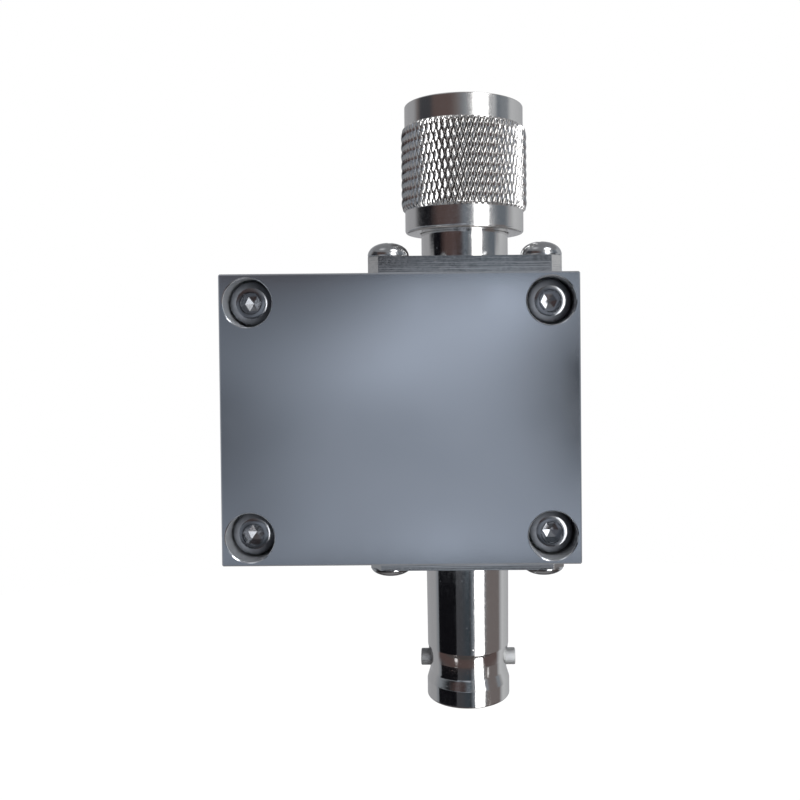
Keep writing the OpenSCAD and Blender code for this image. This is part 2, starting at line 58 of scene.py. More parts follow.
# radians by which it looks down, swings to the side and leans over
dip, swing, roll = 0.0181, 0.006, 0.009
aim = Matrix.Rotation(pi / 2 - dip, 3, "X") @ Matrix.Rotation(swing, 3, "Y")
camera.rotation_euler = (aim @ Matrix.Rotation(-roll, 3, "Z")).to_euler()
bpy.context.scene.collection.objects.link(camera)
bpy.context.scene.camera = camera

# Housing
# The box is milled from one block of aluminium and left with a fine satin skin: the
# front wall, the side walls and the four corner pillars are one piece.

# the front's four screw holes: the middle between them, how far beside and above or below it
# they lie, and a radius and a place along Y that take in all of their walls
middle_x, middle_z = -6.65, -33.44
hole_x, hole_z = 15.35, 11.9
hole_r, hole_end = 2.5, -8


def tint(code):
    """Linear colour of an sRGB hex code."""
    parts = [int(code[i:i + 2], 16) / 255 for i in (1, 3, 5)]
    return [c / 12.92 if c <= 0.04045 else ((c + 0.055) / 1.055) ** 2.4 for c in parts] + [1.0]


def add(tree, kind, inputs=None, **settings):
    """Adds a node, gives it its settings, and sets or links its inputs."""
    node = tree.nodes.new("ShaderNode" + kind)
    for name, value in settings.items():
        setattr(node, name, value)
    for name, value in (inputs or {}).items():
        if isinstance(value, bpy.types.NodeSocket):
            tree.links.new(value, node.inputs[name])
        else:
            node.inputs[name].default_value = value
    return node


def begin(name):
    """A new material with an empty node tree."""
    material = bpy.data.materials.new(name)
    material.use_nodes = True
    material.node_tree.nodes.clear()
    return material, material.node_tree


def dress(name, material):
    """Gives a CAD node its finish."""
    for slot in nodes[name].material_slots:
        slot.material = material


def satin_aluminium(name, dark, light, grain, bores=False):
    """Aluminium with a satin skin from fine glass beads: a bluish grey sheen that
    blurs what it reflects, with a faint grain and hardly any colour of its own. The walls
    of the front's four screw holes were left as the beads hit them, matt and pale."""
    material, tree = begin(name)
    place = add(tree, "TexCoord").outputs["Object"]
    # beads of about 0.1 mm leave dimples of the same size
    beads = add(tree, "TexNoise", {"Vector": place, "Scale": 1 / 0.00012, "Detail": 2.0})
    # the skin varies over a few millimetres, as hand-held blasting does
    cloud = add(tree, "TexNoise", {"Vector": place, "Scale": 1 / 0.006, "Detail": 3.0})
    skin = add(tree, "ValToRGB", {"Fac": cloud.outputs["Fac"]})
    skin.color_ramp.elements[0].color = tint(dark)
    skin.color_ramp.elements[1].color = tint(light)
    skin = skin.outputs["Color"]
    rough = add(tree, "MapRange", {"Value": cloud.outputs["Fac"], "From Min": 0.3, "From Max": 0.7,
                                   "To Min": 0.105, "To Max": 0.145}).outputs["Result"]
    bump = add(tree, "Bump", {"Height": beads.outputs["Fac"], "Strength": grain, "Distance": 0.000004})
    if bores:
        axes = add(tree, "SeparateXYZ", {"Vector": place})
        away = {}
        for axis, middle, hole in (("X", middle_x, hole_x), ("Z", middle_z, hole_z)):
            side = add(tree, "Math", {0: axes.outputs[axis], 1: -middle / 1000}, operation="ADD")
            side = add(tree, "Math", {0: side.outputs["Value"]}, operation="ABSOLUTE")
            side = add(tree, "Math", {0: side.outputs["Value"], 1: hole / 1000}, operation="SUBTRACT")
            away[axis] = side.outputs["Value"]
        away = add(tree, "CombineXYZ", away)
        away = add(tree, "VectorMath", {0: away.outputs["Vector"]}, operation="LENGTH")
        near = add(tree, "Math", {0: away.outputs["Value"], 1: hole_r / 1000}, operation="LESS_THAN")
        front = add(tree, "Math", {0: axes.outputs["Y"], 1: hole_end / 1000}, operation="LESS_THAN")
        bored = add(tree, "Math", {0: near.outputs["Value"], 1: front.outputs["Value"]},
                    operation="MULTIPLY").outputs["Value"]
        skin = add(tree, "Mix", {0: bored, 6: skin, 7: tint("#b9bcc0")}, data_type="RGBA").outputs[2]
        rough = add(tree, "Mix", {0: bored, 2: rough, 3: 0.7}).outputs[0]
        # the boring tool's feed leaves rings 0.15 mm apart down the wall
        rings = add(tree, "TexWave", {"Vector": place, "Scale": 1 / 0.00015 / 6.28},
                    wave_type="BANDS", bands_direction="Y")
        depth = add(tree, "Math", {0: rings.outputs["Fac"], 1: bored}, operation="MULTIPLY")
        bump = add(tree, "Bump", {"Height": depth.outputs["Value"], "Strength": 0.5, "Distance": 0.000008,
                                  "Normal": bump.outputs["Normal"]})
    shader = add(tree, "BsdfPrincipled", {
        "Base Color": skin, "Metallic": 1.0, "Roughness": rough, "Normal": bump.outputs["Normal"]})
    add(tree, "OutputMaterial", {"Surface": shader.outputs["BSDF"]})
    return material


dress("housing", satin_aluminium("satin aluminium, housing", "#c9ced4", "#d0d4da", 0.25, bores=True))

# Rear cover
# A plate of the same aluminium closes the back. Its lip drops into the cavity, and the
# four cover screws that come through the housing from the front pull it on.

dress("rear_cover", satin_aluminium("satin aluminium, cover", "#c6cbd1", "#ced2d8", 0.3))

# Circuit board
# A glass-fibre board under green solder mask carries the filter. Four screws hold it to
# bosses inside the box.

material, tree = begin("solder mask on glass fibre")
# the weave of the glass cloth, 0.5 mm from thread to thread, shows as a faint grid
place = add(tree, "TexCoord").outputs["Object"]
weave_x = add(tree, "TexWave", {"Vector": place, "Scale": 1 / 0.0005 / 6.28},
              wave_type="BANDS", bands_direction="X")
weave_z = add(tree, "TexWave", {"Vector": place, "Scale": 1 / 0.0005 / 6.28},
              wave_type="BANDS", bands_direction="Z")
weave = add(tree, "Math", {0: weave_x.outputs["Fac"], 1: weave_z.outputs["Fac"]}, operation="MULTIPLY")
mask = add(tree, "ValToRGB", {"Fac": weave.outputs["Value"]})
mask.color_ramp.elements[0].color = tint("#1d5134")
mask.color_ramp.elements[1].color = tint("#24603e")
bump = add(tree, "Bump", {"Height": weave.outputs["Value"], "Strength": 0.2, "Distance": 0.00002})
shader = add(tree, "BsdfPrincipled", {
    "Base Color": mask.outputs["Color"], "Roughness": 0.32, "Normal": bump.outputs["Normal"]})
add(tree, "OutputMaterial", {"Surface": shader.outputs["BSDF"]})
dress("circuit_board", material)

# Board screws
# Four M2 screws of stainless steel, cold-headed and tumbled, go through the board near its
# corners and into the bosses.


def plain_steel(name, dark, light, low, high):
    """Stainless steel, cold-headed and tumbled: a grey metal with soft, slightly
    uneven gloss."""
    material, tree = begin(name)
    place = add(tree, "TexCoord").outputs["Object"]
    # tumbling media leave scuffs about 0.3 mm long
    scuffs = add(tree, "TexNoise", {"Vector": place, "Scale": 1 / 0.0003, "Detail": 4.0, "Roughness": 0.6})
    skin = add(tree, "ValToRGB", {"Fac": scuffs.outputs["Fac"]})
    skin.color_ramp.elements[0].color = tint(dark)
    skin.color_ramp.elements[1].color = tint(light)
    rough = add(tree, "MapRange", {"Value": scuffs.outputs["Fac"], "From Min": 0.3, "From Max": 0.7,
                                   "To Min": low, "To Max": high})
    bump = add(tree, "Bump", {"Height": scuffs.outputs["Fac"], "Strength": 0.06, "Distance": 0.00001})
    shader = add(tree, "BsdfPrincipled", {
        "Base Color": skin.outputs["Color"], "Metallic": 1.0,
        "Roughness": rough.outputs["Result"], "Normal": bump.outputs["Normal"]})
    add(tree, "OutputMaterial", {"Surface": shader.outputs["BSDF"]})
    return material


dress("board_screws", plain_steel("stainless steel, board screws", "#a3a5a8", "#bfc1c4", 0.2, 0.32))

# Coils
# Three resonator coils of enamelled copper wire, wound on a mandrel that is then pulled
# out, and soldered to the board by their ends.

material, tree = begin("enamelled copper wire")
# the die that draws the wire leaves faint lines about 0.1 mm apart under the varnish
place = add(tree, "TexCoord").outputs["Object"]
draw = add(tree, "TexNoise", {"Vector": place, "Scale": 1 / 0.0001, "Detail": 2.0})
skin = add(tree, "ValToRGB", {"Fac": draw.outputs["Fac"]})
skin.color_ramp.elements[0].color = tint("#a4532a")
skin.color_ramp.elements[1].color = tint("#bd6a38")
rough = add(tree, "MapRange", {"Value": draw.outputs["Fac"], "To Min": 0.2, "To Max": 0.3})
shader = add(tree, "BsdfPrincipled", {
    "Base Color": skin.outputs["Color"], "Metallic": 1.0, "Roughness": rough.outputs["Result"],
    "Coat Weight": 0.7, "Coat Roughness": 0.08})
add(tree, "OutputMaterial", {"Surface": shader.outputs["BSDF"]})
for name in ("input_coil", "middle_coil", "output_coil"):
    dress(name, material)

# Chip capacitors
# Fired ceramic blocks, tan and a little rough, with ends that take the solder. One lies
# across each coil, and four lie in the signal's path.

material, tree = begin("fired ceramic")
place = add(tree, "TexCoord").outputs["Object"]
# pressed powder keeps a grain of about 0.05 mm
powder = add(tree, "TexNoise", {"Vector": place, "Scale": 1 / 0.00005, "Detail": 3.0})
skin = add(tree, "ValToRGB", {"Fac": powder.outputs["Fac"]})
skin.color_ramp.elements[0].color = tint("#a68a63")
skin.color_ramp.elements[1].color = tint("#bfa47c")
bump = add(tree, "Bump", {"Height": powder.outputs["Fac"], "Strength": 0.2, "Distance": 0.00001})
shader = add(tree, "BsdfPrincipled", {
    "Base Color": skin.outputs["Color"], "Roughness": 0.5, "Normal": bump.outputs["Normal"]})
add(tree, "OutputMaterial", {"Surface": shader.outputs["BSDF"]})
for name in ("shunt_capacitors", "coupling_capacitors"):
    dress(name, material)

# Plug body
# A square flange and a neck in one piece, turned and milled from brass and plated with
# bright nickel. It is screwed to the top of the box.


def between(tree, place, low, high):
    """1 between two heights in millimetres and 0 elsewhere."""
    height = add(tree, "SeparateXYZ", {"Vector": place}).outputs["Z"]
    share = add(tree, "MapRange", {"Value": height, "From Min": low / 1000, "From Max": high / 1000})
    inside = add(tree, "Math", {0: share.outputs["Result"], 1: 0.5, 2: 0.499}, operation="COMPARE")
    return inside.outputs["Value"]


def bright_nickel(name, low, high, line, milled=None, rolled=None):
    """Bright nickel over machined brass: nearly a mirror, drawn out by the fine marks of
    the lathe that run round the part. Between two heights it may have been milled, which
    leaves deeper lines, or rolled, which leaves grooves that are dull at the bottom and carry painted shade
    there, a darker colour."""
    material, tree = begin(name)
    place = add(tree, "TexCoord").outputs["Object"]
    # tool marks: the feed leaves a line every 0.1 mm along the axis
    marks = add(tree, "Mapping", {"Vector": place, "Scale": (160, 160, 1 / 0.0001)})
    lines = add(tree, "TexNoise", {"Vector": marks.outputs["Vector"], "Scale": 1.0, "Detail": 3.0})
    # handling leaves dull spots about 0.4 mm across, and the plating has a few raised grains,
    # 0.1 mm across and one in five cells of 0.6 mm
    specks = add(tree, "TexNoise", {"Vector": place, "Scale": 1 / 0.0004, "Detail": 5.0, "Roughness": 0.7})
    cells = add(tree, "TexVoronoi", {"Vector": place, "Scale": 1 / 0.0006})
    pick = add(tree, "SeparateColor", {"Color": cells.outputs["Color"]})
    rare = add(tree, "Math", {0: pick.outputs["Red"], 1: 0.8}, operation="GREATER_THAN")
    grain = add(tree, "MapRange", {"Value": cells.outputs["Distance"], "From Min": 0.06, "From Max": 0.16,
                                   "To Min": 1.0, "To Max": 0.0})
    grains = add(tree, "Math", {0: rare.outputs["Value"], 1: grain.outputs["Result"]}, operation="MULTIPLY")
    skin = add(tree, "ValToRGB", {"Fac": specks.outputs["Fac"]})
    skin.color_ramp.elements[0].color = tint("#cfcecd")
    skin.color_ramp.elements[1].color = tint("#d9d8d7")
    skin = skin.outputs["Color"]
    rough = add(tree, "MapRange", {"Value": specks.outputs["Fac"], "From Min": 0.3, "From Max": 0.75,
                                   "To Min": low, "To Max": high}).outputs["Result"]
    bump = add(tree, "Bump", {"Height": lines.outputs["Fac"], "Strength": line, "Distance": 0.000005})
    if milled:
        # the cutter's lines lie 0.25 mm apart
        cuts = add(tree, "Mapping", {"Vector": place, "Scale": (60, 60, 1 / 0.00025)})
        cuts = add(tree, "TexNoise", {"Vector": cuts.outputs["Vector"], "Scale": 1.0, "Detail": 2.0})
        cuts = add(tree, "Math", {0: cuts.outputs["Fac"], 1: between(tree, place, *milled)},
                   operation="MULTIPLY")
        bump = add(tree, "Bump", {"Height": cuts.outputs["Value"], "Strength": 0.35, "Distance": 0.000006,
                                  "Normal": bump.outputs["Normal"]})
    if rolled:
        # the grooves' bottoms lie 6.98 mm from the axis; out to about 7.1 mm they are duller and carry
        # painted shade, a darker colour
        flat = add(tree, "Mapping", {"Vector": place, "Scale": (1, 1, 0)})
        radius = add(tree, "VectorMath", {0: flat.outputs["Vector"]}, operation="LENGTH")
        groove_dull_shade = add(tree, "MapRange", {"Value": radius.outputs["Value"], "From Min": 0.00702,
                                      "From Max": 0.0071, "To Min": 1.0, "To Max": 0.0})
        groove_dull_shade = add(tree, "Math", {0: groove_dull_shade.outputs["Result"], 1: between(tree, place, *rolled)},
                   operation="MULTIPLY").outputs["Value"]
        # painted shade: the grooves' bottoms take a darker colour, as though shadowed
        skin = add(tree, "Mix", {0: groove_dull_shade, 6: skin, 7: tint("#625f5c")}, data_type="RGBA").outputs[2]
        rough = add(tree, "Mix", {0: groove_dull_shade, 2: rough, 3: 0.4}).outputs[0]
    bump = add(tree, "Bump", {"Height": grains.outputs["Value"], "Strength": 0.6, "Distance": 0.000012,
                              "Normal": bump.outputs["Normal"]})
    shader = add(tree, "BsdfPrincipled", {
        "Base Color": skin, "Metallic": 1.0, "Roughness": rough, "Normal": bump.outputs["Normal"]})
    add(tree, "OutputMaterial", {"Surface": shader.outputs["BSDF"]})
    return material


plug_flange_top = -16.6
dress("plug_body", bright_nickel(
    "bright nickel, plug body", 0.07, 0.16, 0.3, milled=(plug_flange_top - 2, plug_flange_top - 0.02)))

# Contacts
# The plug's slotted outer contact is silvery nickel on a springy alloy; the pin and the
# jack's centre socket are turned from the same alloy and gold plated.

dress("plug_outer_contact", bright_nickel("bright nickel, spring contact", 0.1, 0.2, 0.4))

material, tree = begin("gold plate")
place = add(tree, "TexCoord").outputs["Object"]
# thin gold is warm and bright, and lets the lathe's lines, 0.08 mm apart, show through
marks = add(tree, "Mapping", {"Vector": place, "Scale": (400, 400, 1 / 0.00008)})
lines = add(tree, "TexNoise", {"Vector": marks.outputs["Vector"], "Scale": 1.0, "Detail": 2.0})
skin = add(tree, "ValToRGB", {"Fac": lines.outputs["Fac"]})
skin.color_ramp.elements[0].color = tint("#d9a441")
skin.color_ramp.elements[1].color = tint("#ecc06a")
rough = add(tree, "MapRange", {"Value": lines.outputs["Fac"], "To Min": 0.12, "To Max": 0.26})
shader = add(tree, "BsdfPrincipled", {
    "Base Color": skin.outputs["Color"], "Metallic": 1.0, "Roughness": rough.outputs["Result"]})
add(tree, "OutputMaterial", {"Surface": shader.outputs["BSDF"]})
for name in ("plug_pin", "jack_contact"):
    dress(name, material)

# Insulators
# Two beads turned from white PTFE rod and pressed into the bodies, where they hold the
# contacts in the middle: waxy, a little translucent, with lathe marks on the faces.

material, tree = begin("PTFE")
place = add(tree, "TexCoord").outputs["Object"]
# the waxy stuff is clouded over 0.8 mm, and the lathe leaves rings 0.2 mm apart
wax = add(tree, "TexNoise", {"Vector": place, "Scale": 1 / 0.0008, "Detail": 2.0})
skin = add(tree, "ValToRGB", {"Fac": wax.outputs["Fac"]})
skin.color_ramp.elements[0].color = tint("#e6e5e0")
skin.color_ramp.elements[1].color = tint("#f0efea")
rings = add(tree, "TexWave", {"Vector": place, "Scale": 1 / 0.0002 / 6.28},
            wave_type="RINGS", rings_direction="Z")
bump = add(tree, "Bump", {"Height": rings.outputs["Fac"], "Strength": 0.15, "Distance": 0.00001})
shader = add(tree, "BsdfPrincipled", {
    "Base Color": skin.outputs["Color"], "Roughness": 0.38, "IOR": 1.35,
    "Subsurface Weight": 0.15, "Subsurface Scale": 0.001, "Normal": bump.outputs["Normal"]})
add(tree, "OutputMaterial", {"Surface": shader.outputs["BSDF"]})
for name in ("plug_insulator", "jack_insulator"):
    dress(name, material)

# Gasket
# A ring of red silicone rubber, moulded and laid at the bottom of the nut's thread, where
# it seals the mated pair: soft, matt and slightly dusty.

material, tree = begin("silicone rubber")
place = add(tree, "TexCoord").outputs["Object"]
# dust clings to rubber in specks of about 0.3 mm
dust = add(tree, "TexNoise", {"Vector": place, "Scale": 1 / 0.0003, "Detail": 4.0})
skin = add(tree, "ValToRGB", {"Fac": dust.outputs["Fac"]})
skin.color_ramp.elements[0].color = tint("#8e3226")
skin.color_ramp.elements[1].color = tint("#a5463a")
bump = add(tree, "Bump", {"Height": dust.outputs["Fac"], "Strength": 0.3, "Distance": 0.00002})
shader = add(tree, "BsdfPrincipled", {
    "Base Color": skin.outputs["Color"], "Roughness": 0.55, "Normal": bump.outputs["Normal"]})
add(tree, "OutputMaterial", {"Surface": shader.outputs["BSDF"]})
dress("plug_gasket", material)

# Retaining ring
# A split ring of spring steel, blued by its tempering. It lies half in the neck's groove
# and half in the nut's, so that the nut turns and can't come off.

dress("retaining_ring", plain_steel("blued spring steel", "#5c5d60", "#747578", 0.25, 0.4))

# Coupling nut
# Turned from brass bar, bored and threaded inside, rolled with a fine diamond knurl
# outside, plated with bright nickel. It turns freely on the neck.


def piece(name, points, faces, sharp=30):
    """A mesh object from points in millimetres, welded, with edges over an angle kept sharp."""
    form = bmesh.new()
    corners = [form.verts.new(Vector(p) / 1000) for p in points]
    for face in faces:
        form.faces.new([corners[i] for i in face])
    bmesh.ops.remove_doubles(form, verts=form.verts, dist=2e-8)
    bmesh.ops.dissolve_degenerate(form, edges=form.edges, dist=1e-8)
    bmesh.ops.recalc_face_normals(form, faces=form.faces)
    mesh = bpy.data.meshes.new(name)
    form.to_mesh(mesh)
    form.free()
    mesh.shade_smooth()
    mesh.set_sharp_from_angle(angle=radians(sharp))
    made = bpy.data.objects.new(name, mesh)
    bpy.context.scene.collection.objects.link(made)
    return made


def turn_rows(rows, steps):
    """Points of rows of (radius, height) pairs, one pair for each step round the Z axis."""
    return [(r * cos(2 * pi * i / steps), r * sin(2 * pi * i / steps), z)
            for row in rows for i, (r, z) in enumerate(row)]


def arc(r, z, radius, start, end, count=6):
    """Points of an arc about (r, z), from one angle to another in degrees."""
    angles = [radians(start + (end - start) * i / count) for i in range(count + 1)]
    return [(r + radius * cos(a), z + radius * sin(a)) for a in angles]


nut_top, nut_bottom = 1.5, -13.2
# radii of the plain rims and of the knurl, and the roundings of the mouth and the foot
rim, crown = 6.9, 7.325
mouth_round, foot_round = 0.15, 0.35
# points round the outside, and round the bore
around = 512
half = around // 2
# the knurl's grooves lie 8 steps apart both ways, which makes 64 of each hand round the nut
band_top, band_bottom = -1.0, -10.7
knurl_pitch = 8
knurl_rows = 36
knurl_step = (band_top - band_bottom) / knurl_rows
knurl_depth = 0.34
# shares of that depth: what the second wheel stayed short of the first, and how far each point
# may be off, down and up
shallower, uneven = 0.08, (-0.03, 0.015)
chance = Random(7)


def ridge(x):
    """A rounded ridge that is 0 at whole numbers and 1 halfway between them."""
    rise = 1 - abs(2 * (x - floor(x)) - 1)
    return rise * (1.75 - 0.75 * rise)


# a row close to each rounding keeps the rims' reflections straight
outside = [[p] * around for p in arc(rim - mouth_round, nut_top - mouth_round, mouth_round, 90, 0)
           + [(rim, nut_top - 0.2)]]
knurl_first = len(outside)
for k in range(knurl_rows + 1):
    z = band_top - k * knurl_step
    envelope = rim + min(k, knurl_rows - k) * knurl_step
    row = []
    for i in range(around):
        lift = min(ridge((i + k) / knurl_pitch), ridge((i - k) / knurl_pitch) + shallower, 1) - 1
        lift += chance.uniform(*uneven)
        row.append((max(rim, min(envelope, crown, crown + knurl_depth * lift)), z))
    outside.append(row)
outside += [[p] * around for p in [(rim, nut_bottom + foot_round + 0.05)]
            + arc(rim - foot_round, nut_bottom + foot_round, foot_round, 0, -90, 8)]

# the thread inside, 28 turns to the inch: its profile by shares of the pitch
pitch = 25.4 / 28
bore, root = 5.175, 5.6
mouth_chamfer = 0.6
thread_top, thread_bottom = 1.35, -8.0
flats = [(0, bore), (0.22, bore), (0.49, root), (0.73, root), (1, bore)]
# behind the thread: a relief, the plain bore and the groove for the retaining ring
relief, groove = 5.65, 5.85
relief_bottom = -9.8
groove_top, groove_bottom = -11.35, -12.4


def thread_radius(phase):
    """Radius of the thread's profile at a share of its pitch."""
    t = phase - floor(phase)
    for (t0, r0), (t1, r1) in zip(flats, flats[1:]):
        if t <= t1:
            return r0 + (r1 - r0) * (t - t0) / (t1 - t0)


# rows of the bore, from the mouth down; the thread's rows follow its helix, four to a turn
inside = [[(bore + mouth_chamfer, nut_top)] * half]
thread_rows = 4 * (int((thread_top - thread_bottom) / pitch) + 3)
for k in range(thread_rows):
    share = flats[k % 4][0]
    row = []
    for i in range(half):
        z = nut_top + pitch * (1 - k // 4 - share + i / half)
        z = max(thread_bottom, min(nut_top, z))
        phase = 1 - (z - nut_top) / pitch + i / half
        r = max(thread_radius(phase), bore + mouth_chamfer - (nut_top - z))
        row.append((r, z))
    inside.append(row)
inside += [[p] * half for p in (
    (relief, thread_bottom), (relief, relief_bottom), (bore, relief_bottom), (bore, groove_top),
    (groove, groove_top), (groove, groove_bottom), (bore, groove_bottom), (bore, nut_bottom + 0.1),
    (bore + 0.1, nut_bottom))]

points = turn_rows(outside, around)
first = len(points)
points += turn_rows(inside, half)
faces = []
for k in range(len(outside) - 1):
    for i in range(around):
        j = (i + 1) % around
        a, b, c, d = k * around + i, k * around + j, (k + 1) * around + j, (k + 1) * around + i
        if not knurl_first <= k < knurl_first + knurl_rows:
            faces.append((a, b, c, d))
        elif (i + k - knurl_first) % 2:
            faces += [(a, b, d), (b, c, d)]
        else:
            faces += [(a, b, c), (a, c, d)]
for k in range(len(inside) - 1):
    for i in range(half):
        j = (i + 1) % half
        a, d = first + k * half + i, first + (k + 1) * half + i
        b, c = first + k * half + j, first + (k + 1) * half + j
        if j == 0 and 0 < k < thread_rows + 1:
            # after one turn the helix meets the rows that lie one pitch further
            b = first + (k + 4) * half if k + 4 <= thread_rows else b
            c = first + (k + 5) * half if k + 5 <= thread_rows else c
        faces.append((a, b, c, d))
# the outside has twice as many points round as the inside: the two end faces join them
for k, row in ((0, 0), (len(outside) - 1, len(inside) - 1)):
    for i in range(half):
        j = (i + 1) % half
        ring = [k * around + (2 * i + n) % around for n in range(3)]
        faces.append((first + row * half + i, *ring, first + row * half + j))
nut = piece("coupling_nut_knurled", points, faces, 22)
# the knurled band ends at a sharp edge against both rims
for edge in nut.data.edges:
    ends = [nut.data.vertices[v].co.z * 1000 for v in edge.vertices]
    if all(min(abs(z - band_top), abs(z - band_bottom)) < 1e-4 for z in ends):
        edge.use_edge_sharp = True
nut.data.materials.append(bright_nickel(
    "bright nickel, nut", 0.13, 0.22, 0.35, rolled=(band_bottom + 0.2, band_top - 0.2)))
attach(nut, "nut")
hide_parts("coupling_nut")

# Plug flange screws
# Four M2.5 screws with small pan heads and a cross recess, cold-headed from stainless
# steel, hold the plug's flange to the box.


def lathe(name, outline, steps=96):
    """A closed outline of (radius, height) points turned about the Z axis."""
    rows = [[p] * steps for p in outline]
    faces = []
    for k in range(len(rows) - 1):
        for i in range(steps):
            j = (i + 1) % steps
            faces.append((k * steps + i, k * steps + j, (k + 1) * steps + j, (k + 1) * steps + i))
    return piece(name, turn_rows(rows, steps), faces)


def prism(name, outline, low, high, taper=1.0):
    """A flat outline drawn up from one height to another, its lower end scaled by a taper."""
    count = len(outline)
    points = [(x * taper, y * taper, low) for x, y in outline] + [(x, y, high) for x, y in outline]
    faces = [tuple(range(count)), tuple(range(count, 2 * count))]
    faces += [(i, (i + 1) % count, count + (i + 1) % count, count + i) for i in range(count)]
    return piece(name, points, faces)


def combine(target, tool, operation, sharp=30):
    """Joins a tool to a piece or cuts it out of the piece, and clears the tool away."""
    step = target.modifiers.new(operation, "BOOLEAN")
    step.operation = operation
    step.object = tool
    step.solver = "EXACT"
    graph = bpy.context.evaluated_depsgraph_get()
    mesh = bpy.data.meshes.new_from_object(target.evaluated_get(graph))
    target.modifiers.clear()
    target.data = mesh
    bpy.data.objects.remove(tool)
    mesh.shade_smooth()
    mesh.set_sharp_from_angle(angle=radians(sharp))


recess_wide, recess_thin, recess_deep = 2.3, 0.62, 0.85


def cross_recess(head_top):
    """Tool for a cross recess: four wings that grow smaller towards its bottom."""
    wide, thin = recess_wide / 2, recess_thin / 2
    outline = [(wide, -thin), (wide, thin), (thin, thin), (thin, wide), (-thin, wide), (-thin, thin),
               (-wide, thin), (-wide, -thin), (-thin, -thin), (-thin, -wide), (thin, -wide), (thin, -thin)]
    return prism("recess", outline, head_top - recess_deep, head_top + 0.4, 0.45)


def set_out(name, model, spots, material, node):
    """Puts a copy of a piece at each spot: a place in millimetres, and turns about X and Z."""
    model.data.materials.clear()
    model.data.materials.append(material)
    for i, (place, about_x, about_z) in enumerate(spots):
        mesh = model.data.copy()
        mesh.transform(Matrix.Translation(Vector(place) / 1000)
                       @ Matrix.Rotation(radians(about_x), 4, "X")
                       @ Matrix.Rotation(radians(about_z), 4, "Z"))
        copy = bpy.data.objects.new(f"{name}_{i + 1}", mesh)
        bpy.context.scene.collection.objects.link(copy)
        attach(copy, "filter")
        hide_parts(node)
    bpy.data.objects.remove(model)


# an M2.5 shank: its radius, and the bevel at its end; a screw is turned with its seat at 0
shank, bevel = 1.25, 0.2
pan_length, pan_foot, pan_r, pan_side, pan_dome = 3.44, 2.1, 2.21, 0.15, 1.42
pan = lathe("pan_head_screw", [
    (0, -pan_length), (shank - bevel, -pan_length), (shank, bevel - pan_length), (shank, 0), (pan_foot, 0)]
    + [(pan_r * cos(radians(a)) ** 0.9, pan_side + pan_dome * sin(radians(a))) for a in range(0, 91, 5)])
combine(pan, cross_recess(pan_side + pan_dome - 0.02), "DIFFERENCE")
flange_pitch = 16.43
reach = flange_pitch / 2
set_out("plug_flange_screw", pan,
        [((x * reach, y * reach, plug_flange_top), 0, turned) for x, y, turned in
         ((-1, -1, 20), (1, -1, 64), (1, 1, 37), (-1, 1, 5))],
        plain_steel("stainless steel, flange screws", "#a9abae", "#c6c8ca", 0.1, 0.2),
        "plug_flange_screws")

# Jack body
# Flange and barrel of the jack, turned from brass and plated with bright nickel. The
# barrel has a shallow dip above its plain collar, where a mating bayonet ring runs.


def waist(count=8):
    """Outline of the dip: it falls away sharply, flattens out past a fine groove, and rises
    to the collar. Each stretch has a length and its slope in degrees at both ends."""
    r, z = 4.737, -61.1
    points = [(4.74, -60.69), (r, z)]
    for length, start, end in ((0.1, 0, 11), (0.45, 11, 8.2), (0.9, 8.2, 5.5), (0.05, 5.5, 12),
                               (0.05, 12, 4), (1.25, 4, 1.5), (0.1, 1.5, 0), (0.24, 0, -17),
                               (0.99, -17, -17.5), (0.05, -17.5, 0)):
        for i in range(count):
            slope = start + (end - start) * (i + 0.5) / count
            r -= length / count * tan(radians(slope))
            z -= length / count
            points.append((r, z))
    return points


# the flange's faces, the spigot that goes into the box, and the collar at the mouth
flange_top, flange_bottom = -48.24, -49.89
spigot, spigot_end = 4.5, -45.84
collar, collar_top, collar_round = 4.82, -65.35, 0.15
mouth = -67.14
# the open shell inside the mouth, and the narrower hole behind it for the insulator
shell, shell_depth, seat = 4.1, 8.6, 3.02
barrel = lathe("jack_body_turned", [
    (seat, spigot_end), (spigot, spigot_end), (spigot, flange_top - 0.26), (collar, flange_top - 0.26),
    (collar, flange_bottom)]
    + waist() + [(collar, collar_top), (collar, mouth + 0.19)]
    + arc(collar - collar_round, mouth + collar_round, collar_round, 0, -90, 4)
    + [(shell + 0.2, mouth), (shell, mouth + 0.2), (shell, mouth + shell_depth), (seat, mouth + shell_depth),
       (seat, spigot_end)], 192)
# half of the flange's side, and how much its corners are cut off
side, cut = 10.33, 1.2
plate = prism("jack_flange", [
    (-side + cut, -side), (side - cut, -side), (side, -side + cut), (side, side - cut),
    (side - cut, side), (-side + cut, side), (-side, side - cut), (-side, -side + cut)],
    flange_bottom, flange_top)
combine(plate, barrel, "UNION")
# the screws' countersinks, whose sides slope at 45 degrees; the tool stands out at both ends
sink_r, sink_hole = 2.37, 1.33
sink_bottom, sink_top = flange_bottom - 0.1, flange_top + 0.14
for x in (-1, 1):
    for y in (-1, 1):
        sink = lathe("sink", [(0, sink_bottom), (sink_r, sink_bottom),
                              (sink_hole, sink_bottom + sink_r - sink_hole), (sink_hole, sink_top),
                              (0, sink_top)])
        sink.location = (x * reach / 1000, y * reach / 1000, 0)
        bpy.context.view_layer.update()
        combine(plate, sink, "DIFFERENCE")
plate.name = "jack_body_turned"
plate.data.materials.append(bright_nickel(
    "bright nickel, jack body", 0.06, 0.16, 0.3, milled=(flange_bottom + 0.02, flange_top - 0.02)))
# every edge is broken by 0.06 mm
edge = plate.modifiers.new("edge", "BEVEL")
edge.width = 0.06 / 1000
edge.segments = 2
edge.limit_method = "ANGLE"
edge.angle_limit = radians(40)
edge.harden_normals = True
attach(plate, "filter")
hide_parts("jack_body")

# Bayonet studs
# Two short steel pins are pressed through the barrel's wall from the side, matt from the
# press tool. The ring of a mating plug catches on them.

